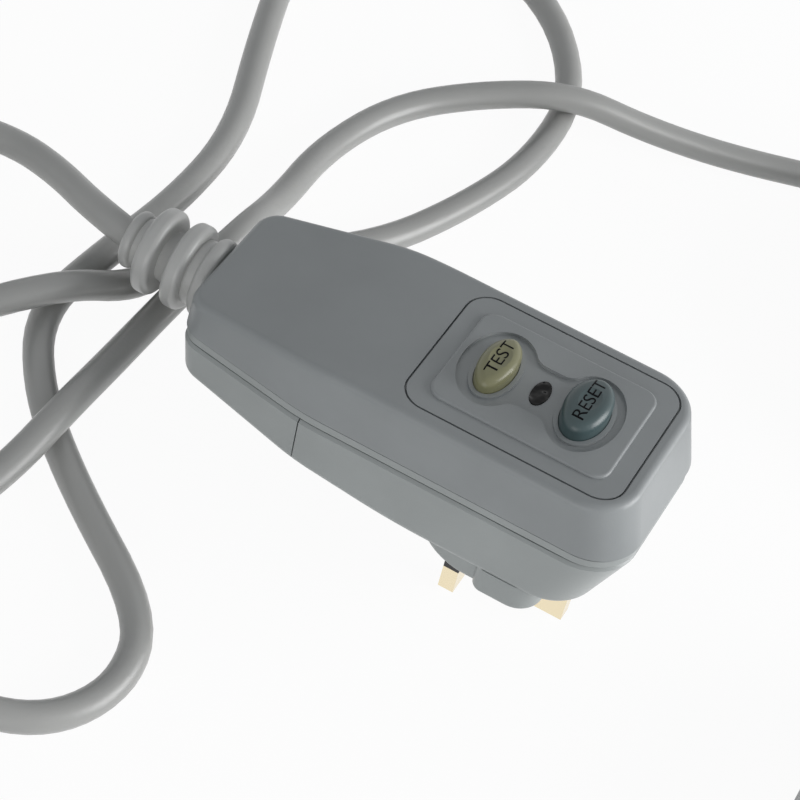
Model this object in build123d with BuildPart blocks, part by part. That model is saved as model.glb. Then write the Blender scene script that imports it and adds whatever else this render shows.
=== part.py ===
"""A 13 A residual-current plug with its flex and a trailing socket.

Every piece of the plug is drawn in the plug's own frame: X runs from the cord end (x = 0) to the head,
Z is square to the top cover and z = 0 is the joint under that cover. The plug then stands on the tips of
its three pins, which tips its head up, and the origin lies under the middle of it, on the floor.
"""
from build123d import *
from math import atan2, ceil, degrees, hypot, pi, radians, tan
import os

os.makedirs("parts", exist_ok=True)

# Plug body, in millimetres
body_length = 116.7
body_width = 50.0
cord_end_width = 38.0
taper_end = 36.0
head_corner = 12.0
cord_corner = 6.0
taper_blend = 60.0
wall = 2.2
top_height = 15.0
top_at_cord_end = 9.2
top_knee = 40.0
top_blend = 150.0
top_edge = 2.0
head_pull_top = 3.9
cord_pull_top = 0.8
side_draft_top = 0.7
bottom_depth = 21.0
bottom_at_cord_end = 13.2
bottom_knee = 62.0
bottom_edge = 2.4
side_draft_bottom = 0.6
head_pull_bottom = 7.2
cord_pull_bottom = 2.4
lip_chamfer = 0.7

# Chassis between the halves
chassis_height = 3.2
chassis_step = 1.5
chassis_rim = 0.8
band_step = 0.4
band_groove = 0.6
web_thickness = 2.0
web_drop = 0.6
web_start = 18.5

# Wiring cover
cover_seam = 35.6
seam_gap = 0.3

# Pin boss and BS 1363 pins
boss_height = 6.5
boss_start = 62.5
boss_end = 100.0
boss_width = 44.0
boss_corners = (20.0, 8.0)
shoulder_start = 84.5
shoulder_end = 100.5
shoulder_width = 48.8
shoulder_corners = (3.0, 6.5)
nose_start = 92.0
nose_end = 106.5
nose_width = 27.0
nose_corners = (2.0, 6.0)
boss_round = 1.0
live_x = 77.0
earth_to_live = 22.23
live_spacing = 22.23
earth_size = (8.0, 4.0)
live_size = (4.0, 6.35)
earth_length = 22.73
live_length = 17.7
sleeve_length = 9.5
sleeve_wall = 0.5
pin_tip = 1.0
pin_head = 2.0
pin_head_margin = 1.6
pin_gap = 0.05

# Fuse and its carrier
fuse_length = 25.4
fuse_radius = 3.15
fuse_cap_length = 6.0
carrier_wall = 1.0
carrier_end = 1.7
carrier_gap = 0.2
fuse_play = 0.3
clip_thickness = 0.5
clip_play = 0.05
pocket_clear = 0.6

# Button panel, buttons and indicator
panel_length = 54.0
panel_width = 40.8
panel_head_margin = 3.4
panel_corner = 6.0
panel_groove = 0.5
panel_thickness = 1.2
panel_ledge = 1.6
plateau_margin = 4.5
plateau_rise = 0.8
dish_depth = 0.9
dish_round = 4.0
plateau_round = 0.7
plateau_corner = 4.0
dish_radii = (8.6, 12.6)
dish_waist = 15.0
collar_drop = 0.3
collar_width = 1.1
test_x = 70.2
reset_x = 92.7
test_radii = (4.3, 8.6)
test_rise = 4.1
reset_radii = (5.3, 8.9)
reset_rise = 5.1
button_gap = 0.15
button_dome = 30.0
button_shoulder = 2.4
scoop_radii = (8.0, 30.0)
scoop_depth = 0.5
flange_thickness = 1.2
flange_margin = 1.2
flange_gap = 0.1
stem_radius = 2.0
test_travel = 1.5
window_radii = (2.1, 4.1)
lens_rise = 0.15
lens_flange_thickness = 0.9
lens_flange_margin = 0.4
flag_size = (5.0, 9.0, 0.8)
flag_travel = 4.5
rail_width = 1.0
rail_lip = 0.8
slide_gap = 0.2

# Circuit board and mechanism
board_thickness = 1.6
board_start = 59.0
board_end = 107.0
board_width = 40.0
standoff_height = 2.0
standoff_radius = 2.2
spring_wall = 0.5
spring_radius = 3.6
switch_size = (4.0, 4.0, 2.2)
solenoid_length = 14.0
solenoid_radius = 3.6
solenoid_y = 12.6
yoke_thickness = 1.2
plunger_radius = 1.5
plunger_reach = 4.0
ring_outer = 9.0
ring_inner = 4.2
ring_height = 7.0
ring_rise = 1.3
ring_x = 62.0
bridge_size = (9.0, 28.0, 3.0)
bridge_gap = 0.3
contact_thickness = 0.8
contact_width = 4.0
contact_open = 2.6
contact_reach = 8.5
bridge_drop = 1.9
guide_radius = 1.1
guide_inset = 2.6
guide_end = -13.0

# Wiring chamber
block_size = (9.0, 25.0, 8.5)
block_x = 24.0
terminal_pitch = 8.0
terminal_bite = 5.0
clamp_size = (5.0, 24.0, 3.0)
clamp_x = 10.6
clamp_pitch = 17.0
clamp_post_radius = 2.6
saddle_thickness = 2.0
seat_depth = 2.4
screw_radius = 1.5
screw_head_radius = 2.8
screw_head_height = 1.8
screw_bite = 6.0
screw_gap = 0.05
post_radius = 3.2
cover_screw_x = 27.5
cover_screw_pitch = 32.0
body_screw_x = (46.0, 104.0)
body_screw_pitch = (38.8, 34.0)

# Strain relief and flex
cord_radius = 3.75
cord_axis_z = -1.0
relief_hole = 7.5
relief_flange = 8.3
relief_flange_thickness = 1.8
relief_gap = 0.1
relief_play = 0.2
relief_length = 24.5
relief_neck_radius = 8.2
relief_tail_radius = 6.2
relief_collar_radius = 10.0
relief_ring_radius = 10.8
relief_end_radius = 7.2
relief_round = 1.6
core_radius = 1.3
exit_run = 11.0

# Put-away coil
coil_layers = 4
coil_rise = 8.3
coil_centre = (127.5, 152.0)
coil_outer = 50.0
coil_pitch = 8.5
coil_half_turns = 6

# Trailing socket, lying on its back with its cord end towards +Y
socket_x = 166.5
socket_cord_end = 40.0
socket_length = 80.0
socket_width = 58.0
socket_base_height = 20.0
socket_front_height = 18.0
socket_corner = 12.0
socket_edge = 3.0
socket_wall = 2.6
face_thickness = 5.0
socket_live_y = 8.0
live_slot = (7.2, 4.8)
earth_slot = (4.8, 8.8)
shutter_thickness = 2.0
shutter_gap = 0.25
socket_grip_length = 20.0
socket_grip_radius = 8.5
socket_grip_wall = 1.6
socket_cord_z = 19.0
socket_screw_pitch = (42.0, 60.0)
socket_seat = 6.0
well_wall = 1.4
contact_top = 27.0
leaf_thickness = 0.8
socket_clamp_inset = 11.0

# Sizes that follow from the ones above
half_body = body_width / 2
web_top = -web_drop
web_bottom = web_top - web_thickness
lower_top = -chassis_height
floor_z = -bottom_depth + wall
boss_face = -bottom_depth - boss_height
earth_x = live_x + earth_to_live
ring_seat = floor_z + ring_rise
board_bottom = web_top + standoff_height
board_top = board_bottom + board_thickness
panel_x = body_length - head_pull_top - panel_head_margin - panel_length / 2
indicator_x = (test_x + reset_x) / 2
panel_bottom = top_height - panel_thickness
plateau_top = top_height + plateau_rise
flange_top = panel_bottom - flange_gap
flange_bottom = flange_top - flange_thickness


def side_view(z_level, z_cord_end, knee, inset, away):
    """Side view of one half down to the height away: level at the head, falling away to the cord end."""
    up = 1 if z_level > away else -1
    level = z_level - up * inset
    end = z_cord_end - up * inset
    lead = 20
    slope = (level - end) / knee
    with BuildSketch(Plane.XZ) as view:
        with BuildLine():
            Polyline(
                (-lead, end - slope * lead),
                (knee, level),
                (body_length + lead, level),
                (body_length + lead, away),
                (-lead, away),
                close=True,
            )
        make_face()
        fillet(view.vertices().filter_by_position(Axis.X, knee - 0.01, knee + 0.01), radius=top_blend)
    return view.sketch


def half_block(z_joint, z_level, z_cord_end, knee, draft, pulls, inset, rim_round):
    """One half of the body as a solid, or the space inside it when it is inset by the wall.

    Its walls are drafted, its corners rounded, and its face falls away towards the cord end.
    """
    up = 1 if z_level > z_joint else -1
    depth = abs(z_level - z_joint)
    z_past = z_level + 3 * up
    share = (depth + 3) / depth
    half = half_body - inset
    half_cord = cord_end_width / 2 - inset
    lead = 20
    half_lead = half_cord - (half - half_cord) / taper_end * lead
    head_pull, cord_pull = pulls
    middle = (z_joint + z_past) / 2
    with BuildPart() as block:
        with BuildSketch(Plane.XY.offset(z_joint)):
            with BuildLine():
                Polyline(
                    (-lead, -half_lead),
                    (taper_end, -half),
                    (body_length + lead, -half),
                    (body_length + lead, half),
                    (taper_end, half),
                    (-lead, half_lead),
                    close=True,
                )
            make_face()
        extrude(amount=z_past - z_joint, taper=degrees(atan2(draft, depth)))
        with BuildSketch(Plane.XZ):
            with BuildLine():
                Polyline(
                    (inset, z_joint),
                    (body_length - inset, z_joint),
                    (body_length - inset - head_pull * share, z_past),
                    (inset + cord_pull * share, z_past),
                    close=True,
                )
            make_face()
        extrude(amount=body_width, both=True, mode=Mode.INTERSECT)
        for start, stop, radius in (
            (body_length - 20, body_length, head_corner - inset),
            (-1, 10, cord_corner - inset),
            (taper_end - 5, taper_end + 5, taper_blend),
        ):
            upright = block.edges().filter_by_position(Axis.Z, middle - 0.5, middle + 0.5)
            fillet(upright.filter_by_position(Axis.X, start, stop), radius=radius)
        side = side_view(z_level, z_cord_end, knee, inset, z_joint)
        extrude(side, amount=body_width, both=True, mode=Mode.INTERSECT)
        if rim_round:
            caps = [face for face in block.faces() if face.normal_at().Z * up > 0.95]
            shared = [edge for face in caps for edge in face.edges()]
            rim = [edge for edge in shared if sum(edge.is_same(other) for other in shared) == 1]
            fillet(rim, radius=rim_round)
    return block.part


def upper_block(inset=0.0, rim_round=0.0):
    """The top cover's outer form, or the space inside it."""
    pulls = (head_pull_top, cord_pull_top)
    heights = (0, top_height, top_at_cord_end, top_knee)
    return half_block(*heights, side_draft_top, pulls, inset, rim_round)


def lower_block(inset=0.0, rim_round=0.0):
    """The lower half's outer form, or the space inside it."""
    pulls = (head_pull_bottom, cord_pull_bottom)
    heights = (lower_top, -bottom_depth, -bottom_at_cord_end, bottom_knee)
    return half_block(*heights, side_draft_bottom, pulls, inset, rim_round)


def plan(height, inset):
    """Outline of the body at its joint, drawn in by an inset."""
    half = half_body - inset
    half_cord = cord_end_width / 2 - inset
    with BuildSketch(Plane.XY.offset(height)) as outline:
        with BuildLine():
            Polyline(
                (inset, -half_cord),
                (taper_end, -half),
                (body_length - inset, -half),
                (body_length - inset, half),
                (taper_end, half),
                (inset, half_cord),
                close=True,
            )
        make_face()
        fillet(outline.vertices().group_by(Axis.X)[-1], radius=head_corner - inset)
        fillet(outline.vertices().group_by(Axis.X)[0], radius=cord_corner - inset)
        bend = outline.vertices().filter_by_position(Axis.X, taper_end - 0.01, taper_end + 0.01)
        fillet(bend, radius=taper_blend)
    return outline.sketch


def pillars(places, radius, low, high):
    """Round columns at the given places, from one height to another."""
    with BuildPart() as columns:
        with BuildSketch(Plane.XY.offset(low)):
            with Locations(*places):
                Circle(radius)
        extrude(amount=high - low)
    return columns.part


def slabs(places, length, width, low, high, corner=0.0):
    """Upright blocks at the given places, from one height to another."""
    with BuildPart() as blocks:
        with BuildSketch(Plane.XY.offset(low)):
            with Locations(*places):
                if corner:
                    RectangleRounded(length, width, corner)
                else:
                    Rectangle(length, width)
        extrude(amount=high - low)
    return blocks.part


def ovals(places, radii, low, high):
    """Upright oval columns at the given places, long across the body."""
    with BuildPart() as columns:
        with BuildSketch(Plane.XY.offset(low)):
            with Locations(*places):
                Ellipse(*radii)
        extrude(amount=high - low)
    return columns.part


def round_bar(start, stop, radius):
    """A round bar along the flex's axis inside the plug."""
    with BuildPart() as bar:
        with BuildSketch(Plane.YZ.offset(start)):
            with Locations((0, cord_axis_z)):
                Circle(radius)
        extrude(amount=stop - start)
    return bar.part


def screws(places, seat, length):
    """Pan-head screws with their heads under their seats and their shanks pointing up."""
    with BuildPart() as group:
        with BuildSketch(Plane.XY.offset(seat)):
            with Locations(*places):
                Circle(screw_head_radius)
        extrude(amount=-screw_head_height)
        fillet(group.faces().group_by(Axis.Z)[0].edges(), radius=screw_head_height / 3)
        with BuildSketch(Plane.XY.offset(seat)):
            with Locations(*places):
                Circle(screw_radius)
        extrude(amount=length)
    return group.part


def pair(x, pitch):
    """Two places at one station, either side of the middle."""
    return [(x, -pitch / 2), (x, pitch / 2)]


# Where the fasteners and inner pieces stand
body_screws_at = pair(body_screw_x[0], body_screw_pitch[0]) + pair(body_screw_x[1], body_screw_pitch[1])
all_screws_at = body_screws_at + pair(cover_screw_x, cover_screw_pitch)
cover_screws_at = pair(cover_screw_x, cover_screw_pitch)
clamp_screws_at = pair(clamp_x, clamp_pitch)
live_at = pair(live_x, live_spacing)
guides_at = pair(reset_x, bridge_size[1] - 2 * guide_inset)
standoffs_at = pair(board_start + 4, board_width - 8) + pair(board_end - 16, board_width - 8)
body_seat = floor_z + seat_depth
cover_slope = (bottom_depth - bottom_at_cord_end) / bottom_knee
cover_floor = -bottom_at_cord_end - cover_slope * cover_screw_x + wall
cover_seat = cover_floor + seat_depth
clamp_top = cord_axis_z - cord_radius
screw_end = web_top + screw_bite
screw_hole = screw_radius + screw_gap
head_hole = screw_head_radius + 2 * screw_gap
partition = cover_seam + wall

# Top cover, with the posts that its screws bite into
with BuildPart() as roof_posts:
    add(pillars(all_screws_at, post_radius, web_top, top_height))
    add(pillars(clamp_screws_at, clamp_post_radius, clamp_top, top_height))
    add(slabs([(clamp_x, 0)], saddle_thickness, 2 * cord_radius, cord_axis_z + cord_radius, top_height))
    extrude(
        side_view(top_height, top_at_cord_end, top_knee, wall / 2, -bottom_depth),
        amount=body_width,
        both=True,
        mode=Mode.INTERSECT,
    )
with BuildPart() as top_cover:
    add(upper_block(rim_round=top_edge))
    add(upper_block(inset=wall), mode=Mode.SUBTRACT)
    add(roof_posts.part)
    add(round_bar(-1, wall + 2, relief_hole), mode=Mode.SUBTRACT)
    add(
        slabs(
            [(panel_x, 0)],
            panel_length + 2 * panel_groove,
            panel_width + 2 * panel_groove,
            panel_bottom,
            top_height + 1,
            panel_corner + panel_groove,
        ),
        mode=Mode.SUBTRACT,
    )
    add(
        slabs(
            [(panel_x, 0)],
            panel_length - 2 * panel_ledge,
            panel_width - 2 * panel_ledge,
            panel_bottom - wall,
            top_height,
            panel_corner,
        ),
        mode=Mode.SUBTRACT,
    )
    add(pillars(all_screws_at, screw_hole, web_top - 1, screw_end + 0.5), mode=Mode.SUBTRACT)
    add(pillars(clamp_screws_at, screw_hole, clamp_top - 1, clamp_top + screw_bite + 0.5), mode=Mode.SUBTRACT)

# Chassis: its rim shows as the band between the halves, its web carries the board
with BuildPart() as chassis:
    extrude(plan(lower_top, chassis_step), amount=chassis_height)
    extrude(plan(lower_top + band_groove, band_step), amount=chassis_height - 2 * band_groove)
    extrude(plan(lower_top - 1, chassis_step + chassis_rim), amount=chassis_height + 2, mode=Mode.SUBTRACT)
    extrude(plan(web_bottom, chassis_step + chassis_rim / 2), amount=web_thickness)
    with BuildSketch(Plane.XY.offset(lower_top)):
        with Locations((0, 0)):
            Rectangle(2 * web_start, cord_end_width - 2 * (chassis_step + chassis_rim + 0.8))
    extrude(amount=2 * chassis_height, mode=Mode.SUBTRACT)
    add(round_bar(-1, wall + 2, relief_hole), mode=Mode.SUBTRACT)
    add(pillars(standoffs_at, standoff_radius, web_top, board_bottom))
    add(pillars(guides_at, guide_radius, guide_end, web_bottom))
    add(pillars([(reset_x, 0)], stem_radius + 1, web_bottom - 1, web_top + 1), mode=Mode.SUBTRACT)
    add(slabs([(partition + 4, 0)], 5, 20, web_bottom - 1, web_top + 1, 1), mode=Mode.SUBTRACT)
    add(pillars(all_screws_at, screw_hole, web_bottom - 1, web_top + 1), mode=Mode.SUBTRACT)

# Floor posts that the screws pull up against the chassis
with BuildPart() as floor_posts:
    add(pillars(all_screws_at, post_radius, -bottom_depth, web_bottom))
    extrude(
        side_view(-bottom_depth, -bottom_at_cord_end, bottom_knee, wall / 2, top_height),
        amount=body_width,
        both=True,
        mode=Mode.INTERSECT,
    )

# Pin boss under the head: a rounded lobe, shoulders flush with the sides and a nose round the earth pin
with BuildPart() as boss:
    for start, end, width, corners in (
        (boss_start, boss_end, boss_width, boss_corners),
        (shoulder_start, shoulder_end, shoulder_width, shoulder_corners),
        (nose_start, nose_end, nose_width, nose_corners),
    ):
        with BuildPart(mode=Mode.PRIVATE) as lobe:
            with BuildSketch(Plane.XY.offset(boss_face)) as outline:
                with Locations(((start + end) / 2, 0)):
                    Rectangle(end - start, width)
                fillet(outline.vertices().group_by(Axis.X)[0], radius=corners[0])
                fillet(outline.vertices().group_by(Axis.X)[-1], radius=corners[1])
            extrude(amount=boss_height + wall / 2)
            fillet(lobe.faces().sort_by(Axis.Z)[0].edges(), radius=boss_round)
        add(lobe.part)

# Lower housing: the lower half on the head's side of the seam, with a partition and the pin boss
pocket_length = fuse_length + 2 * (carrier_end + fuse_play + carrier_gap)
pocket_width = 2 * (fuse_radius + clip_thickness + clip_play + carrier_wall)
pocket_x = boss_start + carrier_wall + pocket_length / 2
fuse_z = boss_face + carrier_wall + fuse_radius
pocket_top = fuse_z + fuse_radius + pocket_clear
with BuildPart() as lower_housing:
    add(lower_block(rim_round=bottom_edge))
    chamfer(lower_housing.faces().sort_by(Axis.Z)[-1].edges(), length=lip_chamfer)
    with BuildPart(mode=Mode.PRIVATE) as inside:
        add(lower_block(inset=wall))
        split(bisect_by=Plane.YZ.offset(partition), keep=Keep.TOP)
    add(inside.part, mode=Mode.SUBTRACT)
    split(bisect_by=Plane.YZ.offset(cover_seam + seam_gap / 2), keep=Keep.TOP)
    add(floor_posts.part)
    split(bisect_by=Plane.YZ.offset(cover_seam + seam_gap / 2), keep=Keep.TOP)
    add(boss.part)
    add(pillars([(ring_x, 0)], ring_outer, floor_z - 0.5, ring_seat))
    add(pillars([(partition, 0)], 5, -12, lower_top), mode=Mode.SUBTRACT)
    add(pillars(body_screws_at, screw_hole, boss_face, web_bottom + 1), mode=Mode.SUBTRACT)
    add(pillars(body_screws_at, head_hole, boss_face - 1, body_seat), mode=Mode.SUBTRACT)
    pin_fit = 2 * pin_gap
    live_hole = (live_size[0] + pin_fit, live_size[1] + pin_fit)
    add(slabs(live_at, *live_hole, boss_face - 1, floor_z + 1), mode=Mode.SUBTRACT)
    earth_hole = (earth_size[0] + pin_fit, earth_size[1] + pin_fit)
    add(slabs([(earth_x, 0)], *earth_hole, boss_face - 1, floor_z + 1), mode=Mode.SUBTRACT)
    add(slabs([(pocket_x, 0)], pocket_length, pocket_width, boss_face - 1, pocket_top), mode=Mode.SUBTRACT)

# Wiring cover: the lower half on the cord's side of the seam
with BuildPart() as wiring_cover:
    add(lower_block(rim_round=bottom_edge))
    chamfer(wiring_cover.faces().sort_by(Axis.Z)[-1].edges(), length=lip_chamfer)
    add(lower_block(inset=wall), mode=Mode.SUBTRACT)
    add(floor_posts.part)
    split(bisect_by=Plane.YZ.offset(cover_seam - seam_gap / 2), keep=Keep.BOTTOM)
    add(round_bar(-1, wall + 3, relief_hole), mode=Mode.SUBTRACT)
    add(pillars(cover_screws_at, screw_hole, -bottom_depth, web_bottom + 1), mode=Mode.SUBTRACT)
    add(pillars(cover_screws_at, head_hole, -bottom_depth - 1, cover_seat), mode=Mode.SUBTRACT)

body_screws = screws(body_screws_at, body_seat, screw_end - body_seat)
cover_screws = screws(cover_screws_at, cover_seat, screw_end - cover_seat)


# Pins: sleeved blades with a head that rests on the housing floor
def blade(places, size, length, sleeve):
    """Flat pins; a sleeved one is thinner by the sleeve's wall under the sleeve."""
    with BuildPart() as pins:
        add(slabs(places, *size, boss_face - length, floor_z))
        chamfer(pins.faces().group_by(Axis.Z)[0].edges(), length=pin_tip)
        if sleeve:
            add(sleeve, mode=Mode.SUBTRACT)
        head = (size[0] + 2 * pin_head_margin, size[1] + 2 * pin_head_margin)
        add(slabs(places, *head, floor_z, floor_z + pin_head))
    return pins.part


with BuildPart() as pin_sleeves:
    add(slabs(live_at, *live_size, boss_face - sleeve_length, boss_face))
    thin = (live_size[0] - 2 * sleeve_wall, live_size[1] - 2 * sleeve_wall)
    add(slabs(live_at, *thin, boss_face - sleeve_length - 1, boss_face + 1), mode=Mode.SUBTRACT)
neutral_pin = blade(live_at[:1], live_size, live_length, pin_sleeves.part)
live_pin = blade(live_at[1:], live_size, live_length, pin_sleeves.part)
earth_pin = blade([(earth_x, 0)], earth_size, earth_length, None)

# Fuse carrier, drawn out downwards, with its fuse and the clips that stay in the housing
carrier_length = pocket_length - 2 * carrier_gap
carrier_width = pocket_width - 2 * carrier_gap
fuse_start = pocket_x - fuse_length / 2
with BuildPart() as fuse_carrier:
    add(slabs([(pocket_x, 0)], carrier_length, carrier_width, boss_face, boss_face + carrier_wall))
    ends_at = [(pocket_x + side * (carrier_length - carrier_end) / 2, 0) for side in (-1, 1)]
    add(slabs(ends_at, carrier_end, carrier_width, boss_face, fuse_z + fuse_radius / 2))
    add(slabs([(pocket_x, 0)], 3, carrier_width, boss_face, fuse_z - 0.6))
    with BuildSketch(Plane.YZ.offset(fuse_start)):
        with Locations((0, fuse_z)):
            Circle(fuse_radius + 0.05)
    extrude(amount=fuse_length, mode=Mode.SUBTRACT)
    with BuildSketch(Plane.XY.offset(boss_face)):
        with Locations((pocket_x, 0)):
            SlotOverall(9, 2.4)
    extrude(amount=carrier_wall / 2, mode=Mode.SUBTRACT)
with BuildPart() as fuse:
    with BuildSketch(Plane.YZ.offset(fuse_start)):
        with Locations((0, fuse_z)):
            Circle(fuse_radius)
    extrude(amount=fuse_length)
    with BuildSketch(Plane.YZ.offset(fuse_start + fuse_cap_length)):
        with Locations((0, fuse_z)):
            Circle(fuse_radius)
            Circle(fuse_radius - 0.25, mode=Mode.SUBTRACT)
    extrude(amount=fuse_length - 2 * fuse_cap_length, mode=Mode.SUBTRACT)
with BuildPart() as fuse_clips:
    leaf_y = fuse_radius + clip_play + clip_thickness / 2
    for clip_at in (fuse_start + fuse_cap_length / 2, fuse_start + fuse_length - fuse_cap_length / 2):
        leaves_at = [(clip_at, side * leaf_y) for side in (-1, 1)]
        add(slabs(leaves_at, fuse_cap_length - 2, clip_thickness, fuse_z - 1, pocket_top - clip_thickness))
        bridge_width = 2 * leaf_y + clip_thickness
        add(slabs([(clip_at, 0)], fuse_cap_length - 2, bridge_width, pocket_top - clip_thickness, pocket_top))

# Button panel: a raised plateau with a dog-bone dish round the buttons, and rails for the flag
buttons_at = ((test_x, test_radii), (reset_x, reset_radii))
collar_out = button_gap + collar_width
rail_inner = flag_size[0] / 2 + slide_gap
lens_flange = panel_bottom - lens_flange_thickness
flag_top = lens_flange - slide_gap
flag_bottom = flag_top - flag_size[2]
rail_bottom = flag_bottom - slide_gap / 2 - rail_lip
rail_length = flag_size[1] + flag_travel + 1
with BuildPart() as button_panel:
    add(slabs([(panel_x, 0)], panel_length, panel_width, panel_bottom, top_height, panel_corner))
    with BuildSketch(Plane.XY.offset(top_height)):
        with Locations((panel_x, 0)):
            plateau = (panel_length - 2 * plateau_margin, panel_width - 2 * plateau_margin)
            RectangleRounded(*plateau, plateau_corner)
    extrude(amount=plateau_rise)
    fillet(button_panel.faces().sort_by(Axis.Z)[-1].edges(), radius=plateau_round)
    with BuildSketch(Plane.XY.offset(plateau_top - dish_depth)):
        with Locations((test_x, 0), (reset_x, 0)):
            Ellipse(*dish_radii)
        with Locations((indicator_x, 0)):
            Rectangle(reset_x - test_x, dish_waist)
        fillet(vertices().filter_by_position(Axis.X, test_x, reset_x), radius=dish_round)
    extrude(amount=2 * dish_depth, mode=Mode.SUBTRACT)
    for x, (short, long) in buttons_at:
        collar = (short + collar_out, long + collar_out)
        add(ovals([(x, 0)], collar, top_height - 0.2, plateau_top - collar_drop))
    rails_at = [(indicator_x + side * (rail_inner + rail_width / 2), 0) for side in (-1, 1)]
    add(slabs(rails_at, rail_width, rail_length, rail_bottom, panel_bottom))
    lips_at = [(indicator_x + side * (rail_inner + rail_width - rail_lip), 0) for side in (-1, 1)]
    add(slabs(lips_at, 2 * rail_lip, rail_length, rail_bottom, rail_bottom + rail_lip))
    for x, (short, long) in buttons_at:
        hole = (short + button_gap, long + button_gap)
        add(ovals([(x, 0)], hole, panel_bottom - 1, plateau_top + 1), mode=Mode.SUBTRACT)
    window_hole = (window_radii[0] + screw_gap, window_radii[1] + screw_gap)
    add(ovals([(indicator_x, 0)], window_hole, panel_bottom - 1, plateau_top + 1), mode=Mode.SUBTRACT)
with BuildPart() as indicator_window:
    add(ovals([(indicator_x, 0)], window_radii, panel_bottom, top_height + lens_rise))
    lens_radii = (window_radii[0] + lens_flange_margin, window_radii[1] + lens_flange_margin)
    add(ovals([(indicator_x, 0)], lens_radii, lens_flange, panel_bottom))
with BuildPart() as indicator_flag:
    add(slabs([(indicator_x, -flag_travel / 2)], flag_size[0], flag_size[1], flag_bottom, flag_top))


def push_button(x, radii, top, stem_end):
    """A tall oval button with rounded shoulders and a scooped top, on a flange and a round stem."""
    flange_radii = (radii[0] + flange_margin, radii[1] + flange_margin)
    with BuildPart() as button:
        add(ovals([(x, 0)], radii, flange_bottom, top))
        with Locations((x, 0, top - button_dome)):
            Sphere(button_dome, mode=Mode.INTERSECT)
        fillet(button.faces().sort_by(Axis.Z)[-1].outer_wire().edges(), radius=button_shoulder)
        with Locations((x, 0, top - scoop_depth + scoop_radii[1])):
            Torus(scoop_radii[1] - scoop_radii[0], scoop_radii[0], rotation=(0, 90, 0), mode=Mode.SUBTRACT)
        add(ovals([(x, 0)], flange_radii, flange_bottom, flange_top))
        add(pillars([(x, 0)], stem_radius, stem_end, flange_bottom))
    return button.part


switch_top = board_top + switch_size[2]
bridge_top = web_bottom - bridge_drop
bridge_bottom = bridge_top - bridge_size[2]
test_stem_end = switch_top + test_travel + bridge_gap
test_button = push_button(test_x, test_radii, plateau_top + test_rise, test_stem_end)
reset_button = push_button(reset_x, reset_radii, plateau_top + reset_rise, bridge_top + bridge_gap)


def button_spring(x):
    """The spring round a button's stem, from the board to the flange."""
    with BuildPart() as spring:
        add(pillars([(x, 0)], spring_radius, board_top, flange_bottom))
        bore = spring_radius - spring_wall
        add(pillars([(x, 0)], bore, board_top - 1, flange_bottom + 1), mode=Mode.SUBTRACT)
    return spring.part


test_spring = button_spring(test_x)
reset_spring = button_spring(reset_x)

# Circuit board and what stands on it
board_x = (board_start + board_end) / 2
with BuildPart() as circuit_board:
    add(slabs([(board_x, 0)], board_end - board_start, board_width, board_bottom, board_top, 2))
    add(pillars([(reset_x, 0)], stem_radius + 0.6, board_bottom - 1, board_top + 1), mode=Mode.SUBTRACT)
    add(pillars(body_screws_at, post_radius + 0.5, board_bottom - 1, board_top + 1), mode=Mode.SUBTRACT)
with BuildPart() as test_switch:
    add(slabs([(test_x, 0)], switch_size[0], switch_size[1], board_top, switch_top - 0.6))
    add(pillars([(test_x, 0)], 1.2, switch_top - 0.6, switch_top))
yoke_height = 2 * solenoid_radius + yoke_thickness
solenoid_z = board_top + yoke_thickness + solenoid_radius
solenoid_start = test_x - solenoid_length / 2
solenoid_end = solenoid_start + solenoid_length
with BuildPart() as trip_solenoid:
    yoke_width = 2 * solenoid_radius
    add(slabs([(test_x, solenoid_y)], solenoid_length, yoke_width, board_top, board_top + yoke_thickness))
    yoke_ends = (solenoid_start + yoke_thickness / 2, solenoid_end - yoke_thickness / 2)
    yokes_at = [(end, solenoid_y) for end in yoke_ends]
    add(slabs(yokes_at, yoke_thickness, yoke_width, board_top, board_top + yoke_height))
    with BuildSketch(Plane.YZ.offset(solenoid_start + yoke_thickness)):
        with Locations((solenoid_y, solenoid_z)):
            Circle(solenoid_radius - 0.2)
    extrude(amount=solenoid_length - 2 * yoke_thickness)
    with BuildSketch(Plane.YZ.offset(solenoid_start + yoke_thickness)):
        with Locations((solenoid_y, solenoid_z)):
            Circle(plunger_radius + slide_gap)
    extrude(amount=solenoid_length, mode=Mode.SUBTRACT)
with BuildPart() as solenoid_plunger:
    with BuildSketch(Plane.YZ.offset(solenoid_start + yoke_thickness + slide_gap)):
        with Locations((solenoid_y, solenoid_z)):
            Circle(plunger_radius)
    extrude(amount=solenoid_length - yoke_thickness - slide_gap + plunger_reach)
with BuildPart() as sensing_transformer:
    add(pillars([(ring_x, 0)], ring_outer, ring_seat, ring_seat + ring_height))
    add(pillars([(ring_x, 0)], ring_inner, ring_seat - 1, ring_seat + ring_height + 1), mode=Mode.SUBTRACT)
    fillet(sensing_transformer.edges().filter_by(GeomType.CIRCLE), radius=1.4)

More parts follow.
